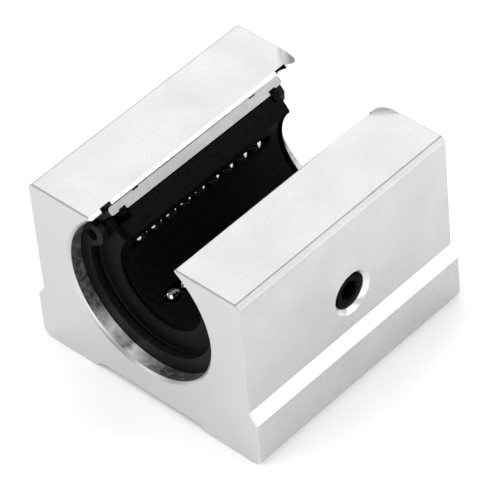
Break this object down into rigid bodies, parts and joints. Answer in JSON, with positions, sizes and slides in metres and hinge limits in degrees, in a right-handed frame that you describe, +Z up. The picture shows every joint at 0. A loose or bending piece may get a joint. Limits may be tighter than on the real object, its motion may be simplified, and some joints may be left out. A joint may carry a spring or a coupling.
{
  "type": "open linear ball bushing pillow block",
  "caption": "Open linear ball bushing with recirculating ball circuits, held by circlips in a slotted aluminium pillow block that rides on a supported round shaft.",
  "frame": {"origin": "centre of the mounting face, on the plane of the two pads", "axes": "+X across the block towards the adjusting screw, +Y along the bore from the front face to the rear face, +Z up to the slot"},
  "size_m": [0.0446, 0.045, 0.032],
  "materials": {
    "aluminium_block": "fine satin, machined and blasted",
    "sleeve_steel": "ground bearing steel",
    "ball_steel": "polished bearing balls",
    "retainer_resin": "moulded black acetal",
    "seal_rubber": "moulded black nitrile",
    "black_steel": "black oxide spring steel"
  },
  "bodies": {
    "block": {"housing": "aluminium_block", "outer_sleeve": "sleeve_steel", "ball_retainer": "retainer_resin", "end_seal_front": "seal_rubber", "end_seal_rear": "seal_rubber", "snap_ring_front": "black_steel", "snap_ring_rear": "black_steel", "circlip_front": "black_steel", "circlip_rear": "black_steel"},
    "adjusting_screw": {"adjusting_screw": "black_steel"},
    "load_row_1": {"load_ball_1_1": "ball_steel", "load_ball_1_2": "ball_steel", "load_ball_1_3": "ball_steel", "load_ball_1_4": "ball_steel", "load_ball_1_5": "ball_steel", "load_ball_1_6": "ball_steel", "load_ball_1_7": "ball_steel", "load_ball_1_8": "ball_steel", "load_ball_1_9": "ball_steel"},
    "return_row_1": {"return_row_1": "ball_steel"},
    "turn_ball_front_1": {"turn_ball_front_1": "ball_steel"},
    "turn_ball_rear_1": {"turn_ball_rear_1": "ball_steel"},
    "load_row_2": {"load_ball_2_1": "ball_steel", "load_ball_2_2": "ball_steel", "load_ball_2_3": "ball_steel", "load_ball_2_4": "ball_steel", "load_ball_2_5": "ball_steel", "load_ball_2_6": "ball_steel", "load_ball_2_7": "ball_steel", "load_ball_2_8": "ball_steel", "load_ball_2_9": "ball_steel"},
    "return_row_2": {"return_row_2": "ball_steel"},
    "turn_ball_front_2": {"turn_ball_front_2": "ball_steel"},
    "turn_ball_rear_2": {"turn_ball_rear_2": "ball_steel"},
    "load_row_3": {"load_ball_3_1": "ball_steel", "load_ball_3_2": "ball_steel", "load_ball_3_3": "ball_steel", "load_ball_3_4": "ball_steel", "load_ball_3_5": "ball_steel", "load_ball_3_6": "ball_steel", "load_ball_3_7": "ball_steel", "load_ball_3_8": "ball_steel", "load_ball_3_9": "ball_steel"},
    "return_row_3": {"return_row_3": "ball_steel"},
    "turn_ball_front_3": {"turn_ball_front_3": "ball_steel"},
    "turn_ball_rear_3": {"turn_ball_rear_3": "ball_steel"},
    "load_row_4": {"load_ball_4_1": "ball_steel", "load_ball_4_2": "ball_steel", "load_ball_4_3": "ball_steel", "load_ball_4_4": "ball_steel", "load_ball_4_5": "ball_steel", "load_ball_4_6": "ball_steel", "load_ball_4_7": "ball_steel", "load_ball_4_8": "ball_steel", "load_ball_4_9": "ball_steel"},
    "return_row_4": {"return_row_4": "ball_steel"},
    "turn_ball_front_4": {"turn_ball_front_4": "ball_steel"},
    "turn_ball_rear_4": {"turn_ball_rear_4": "ball_steel"}
  },
  "joints": [
    {"name": "adjusting_screw_turn", "type": "hinge", "parent": "block", "child": "adjusting_screw", "pos_m": [0.017, 0.0006, 0.0171], "axis": [1, 0, 0], "range_deg": [-30, 150]},
    {"name": "load_row_1_slide", "type": "slide", "parent": "block", "child": "load_row_1", "axis": [0, 1, 0], "range_m": [-0.00155, 0.00155]},
    {"name": "return_row_1_slide", "type": "slide", "parent": "block", "child": "return_row_1", "axis": [0, 1, 0], "range_m": [-0.0016, 0.0016]},
    {"name": "turn_ball_front_1_swing", "type": "hinge", "parent": "block", "child": "turn_ball_front_1", "pos_m": [-0.00989, -0.0124, 0.02321], "axis": [-0.9511, 0, 0.309], "range_deg": [-46, 46]},
    {"name": "turn_ball_rear_1_swing", "type": "hinge", "parent": "block", "child": "turn_ball_rear_1", "pos_m": [-0.00989, 0.0124, 0.02321], "axis": [-0.9511, 0, 0.309], "range_deg": [-46, 46]},
    {"name": "load_row_2_slide", "type": "slide", "parent": "block", "child": "load_row_2", "axis": [0, 1, 0], "range_m": [-0.00155, 0.00155]},
    {"name": "return_row_2_slide", "type": "slide", "parent": "block", "child": "return_row_2", "axis": [0, 1, 0], "range_m": [-0.0016, 0.0016]},
    {"name": "turn_ball_front_2_swing", "type": "hinge", "parent": "block", "child": "turn_ball_front_2", "pos_m": [-0.00611, -0.0124, 0.01159], "axis": [-0.5878, 0, -0.809], "range_deg": [-46, 46]},
    {"name": "turn_ball_rear_2_swing", "type": "hinge", "parent": "block", "child": "turn_ball_rear_2", "pos_m": [-0.00611, 0.0124, 0.01159], "axis": [-0.5878, 0, -0.809], "range_deg": [-46, 46]},
    {"name": "load_row_3_slide", "type": "slide", "parent": "block", "child": "load_row_3", "axis": [0, 1, 0], "range_m": [-0.00155, 0.00155]},
    {"name": "return_row_3_slide", "type": "slide", "parent": "block", "child": "return_row_3", "axis": [0, 1, 0], "range_m": [-0.0016, 0.0016]},
    {"name": "turn_ball_front_3_swing", "type": "hinge", "parent": "block", "child": "turn_ball_front_3", "pos_m": [0.00611, -0.0124, 0.01159], "axis": [0.5878, 0, -0.809], "range_deg": [-46, 46]},
    {"name": "turn_ball_rear_3_swing", "type": "hinge", "parent": "block", "child": "turn_ball_rear_3", "pos_m": [0.00611, 0.0124, 0.01159], "axis": [0.5878, 0, -0.809], "range_deg": [-46, 46]},
    {"name": "load_row_4_slide", "type": "slide", "parent": "block", "child": "load_row_4", "axis": [0, 1, 0], "range_m": [-0.00155, 0.00155]},
    {"name": "return_row_4_slide", "type": "slide", "parent": "block", "child": "return_row_4", "axis": [0, 1, 0], "range_m": [-0.0016, 0.0016]},
    {"name": "turn_ball_front_4_swing", "type": "hinge", "parent": "block", "child": "turn_ball_front_4", "pos_m": [0.00989, -0.0124, 0.02321], "axis": [0.9511, 0, 0.309], "range_deg": [-46, 46]},
    {"name": "turn_ball_rear_4_swing", "type": "hinge", "parent": "block", "child": "turn_ball_rear_4", "pos_m": [0.00989, 0.0124, 0.02321], "axis": [0.9511, 0, 0.309], "range_deg": [-46, 46]}
  ],
  "couplings": [
    {"joint": "return_row_1_slide", "follows": "load_row_1_slide", "ratio": -1},
    {"joint": "turn_ball_front_1_swing", "follows": "load_row_1_slide", "rad_per_m": -512.82},
    {"joint": "turn_ball_rear_1_swing", "follows": "load_row_1_slide", "rad_per_m": -512.82},
    {"joint": "return_row_2_slide", "follows": "load_row_2_slide", "ratio": -1},
    {"joint": "turn_ball_front_2_swing", "follows": "load_row_2_slide", "rad_per_m": -512.82},
    {"joint": "turn_ball_rear_2_swing", "follows": "load_row_2_slide", "rad_per_m": -512.82},
    {"joint": "return_row_3_slide", "follows": "load_row_3_slide", "ratio": -1},
    {"joint": "turn_ball_front_3_swing", "follows": "load_row_3_slide", "rad_per_m": -512.82},
    {"joint": "turn_ball_rear_3_swing", "follows": "load_row_3_slide", "rad_per_m": -512.82},
    {"joint": "return_row_4_slide", "follows": "load_row_4_slide", "ratio": -1},
    {"joint": "turn_ball_front_4_swing", "follows": "load_row_4_slide", "rad_per_m": -512.82},
    {"joint": "turn_ball_rear_4_swing", "follows": "load_row_4_slide", "rad_per_m": -512.82}
  ]
}
